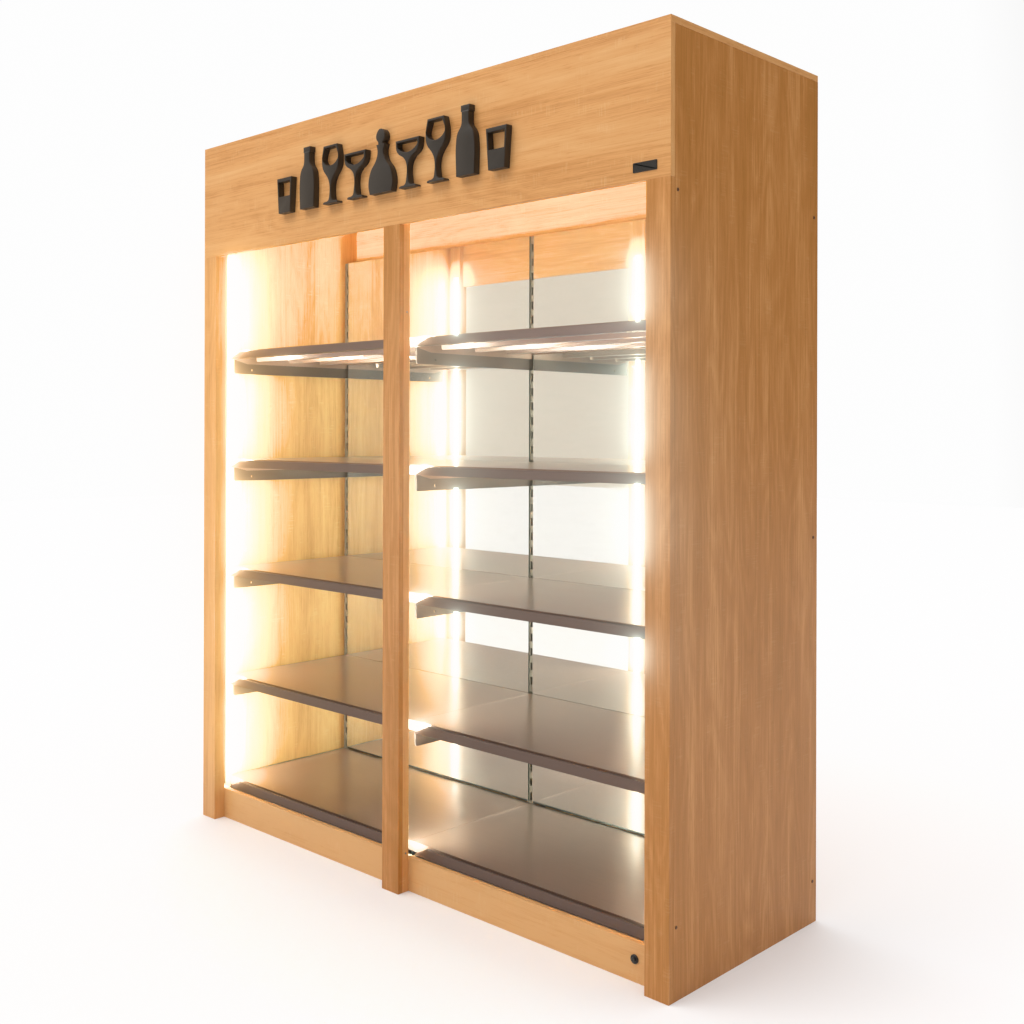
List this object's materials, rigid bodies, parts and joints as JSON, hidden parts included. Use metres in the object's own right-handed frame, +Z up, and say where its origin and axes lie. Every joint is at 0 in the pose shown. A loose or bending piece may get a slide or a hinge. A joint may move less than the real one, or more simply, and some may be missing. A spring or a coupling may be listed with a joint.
{
  "type": "liquor shelf",
  "caption": "Free-standing lit liquor shelf: oak-effect surround with deep fascia, posts and plinth round mirror-backed bays of steel trays hooked into slotted uprights.",
  "frame": {"origin": "middle of the footprint, on the floor", "axes": "+X to the right seen from the front, +Y to the back, +Z up"},
  "size_m": [2.07, 0.73, 2.45],
  "materials": {
    "oak_laminate": "oak-effect laminate on chipboard, satin",
    "upright_steel": "silver-grey powder coat",
    "zinc_steel": "zinc-plated",
    "mirror_glass": "silvered float glass",
    "aluminium": "clear anodised",
    "tray_enamel": "satin warm grey powder coat",
    "rail_metal": "metallic grey-brown powder coat",
    "bracket_enamel": "metallic grey powder coat",
    "led_lamp": "white printed strip with lamps",
    "driver_plastic": "moulded white plastic",
    "switch_plastic": "moulded black plastic",
    "button_plastic": "polished dark grey plastic"
  },
  "bodies": {
    "unit": {"left_side_panel": "oak_laminate", "right_side_panel": "oak_laminate", "top_panel": "oak_laminate", "back_panel": "oak_laminate", "fascia_board": "oak_laminate", "left_post": "oak_laminate", "centre_post": "oak_laminate", "right_post": "oak_laminate", "left_post_batten": "oak_laminate", "centre_post_batten": "oak_laminate", "right_post_batten": "oak_laminate", "left_plinth": "oak_laminate", "right_plinth": "oak_laminate", "left_upright": "upright_steel", "centre_upright": "upright_steel", "right_upright": "upright_steel", "left_base_leg": "upright_steel", "centre_base_leg": "upright_steel", "right_base_leg": "upright_steel", "crossbars": "upright_steel", "levelling_feet": "zinc_steel", "left_mirror": "mirror_glass", "right_mirror": "mirror_glass", "mirror_channels": "aluminium", "left_led_channel": "aluminium", "centre_led_channel": "aluminium", "right_led_channel": "aluminium", "left_deck": "tray_enamel", "right_deck": "tray_enamel", "left_deck_rail": "rail_metal", "right_deck_rail": "rail_metal", "brackets_1": "bracket_enamel", "brackets_2": "bracket_enamel", "brackets_3": "bracket_enamel", "brackets_4": "bracket_enamel", "left_led_strip": "led_lamp", "centre_led_strip": "led_lamp", "right_led_strip": "led_lamp", "led_driver": "driver_plastic", "switch_bezel": "switch_plastic", "switch_body": "switch_plastic"},
    "button": {"switch_button": "button_plastic"},
    "left_shelf_1": {"left_tray_1": "tray_enamel", "left_rail_1": "rail_metal"},
    "left_shelf_2": {"left_tray_2": "tray_enamel", "left_rail_2": "rail_metal"},
    "left_shelf_3": {"left_tray_3": "tray_enamel", "left_rail_3": "rail_metal"},
    "left_shelf_4": {"left_tray_4": "tray_enamel", "left_rail_4": "rail_metal"},
    "right_shelf_1": {"right_tray_1": "tray_enamel", "right_rail_1": "rail_metal"},
    "right_shelf_2": {"right_tray_2": "tray_enamel", "right_rail_2": "rail_metal"},
    "right_shelf_3": {"right_tray_3": "tray_enamel", "right_rail_3": "rail_metal"},
    "right_shelf_4": {"right_tray_4": "tray_enamel", "right_rail_4": "rail_metal"}
  },
  "joints": [
    {"name": "button_press", "type": "slide", "parent": "unit", "child": "button", "axis": [0, 1, 0], "range_m": [0, 0.003], "stiffness_N_per_m": 400},
    {"name": "left_shelf_1_lift", "type": "slide", "parent": "unit", "child": "left_shelf_1", "axis": [0, 0, 1], "range_m": [0, 0.05]},
    {"name": "left_shelf_2_lift", "type": "slide", "parent": "unit", "child": "left_shelf_2", "axis": [0, 0, 1], "range_m": [0, 0.05]},
    {"name": "left_shelf_3_lift", "type": "slide", "parent": "unit", "child": "left_shelf_3", "axis": [0, 0, 1], "range_m": [0, 0.05]},
    {"name": "left_shelf_4_lift", "type": "slide", "parent": "unit", "child": "left_shelf_4", "axis": [0, 0, 1], "range_m": [0, 0.05]},
    {"name": "right_shelf_1_lift", "type": "slide", "parent": "unit", "child": "right_shelf_1", "axis": [0, 0, 1], "range_m": [0, 0.05]},
    {"name": "right_shelf_2_lift", "type": "slide", "parent": "unit", "child": "right_shelf_2", "axis": [0, 0, 1], "range_m": [0, 0.05]},
    {"name": "right_shelf_3_lift", "type": "slide", "parent": "unit", "child": "right_shelf_3", "axis": [0, 0, 1], "range_m": [0, 0.05]},
    {"name": "right_shelf_4_lift", "type": "slide", "parent": "unit", "child": "right_shelf_4", "axis": [0, 0, 1], "range_m": [0, 0.05]}
  ]
}
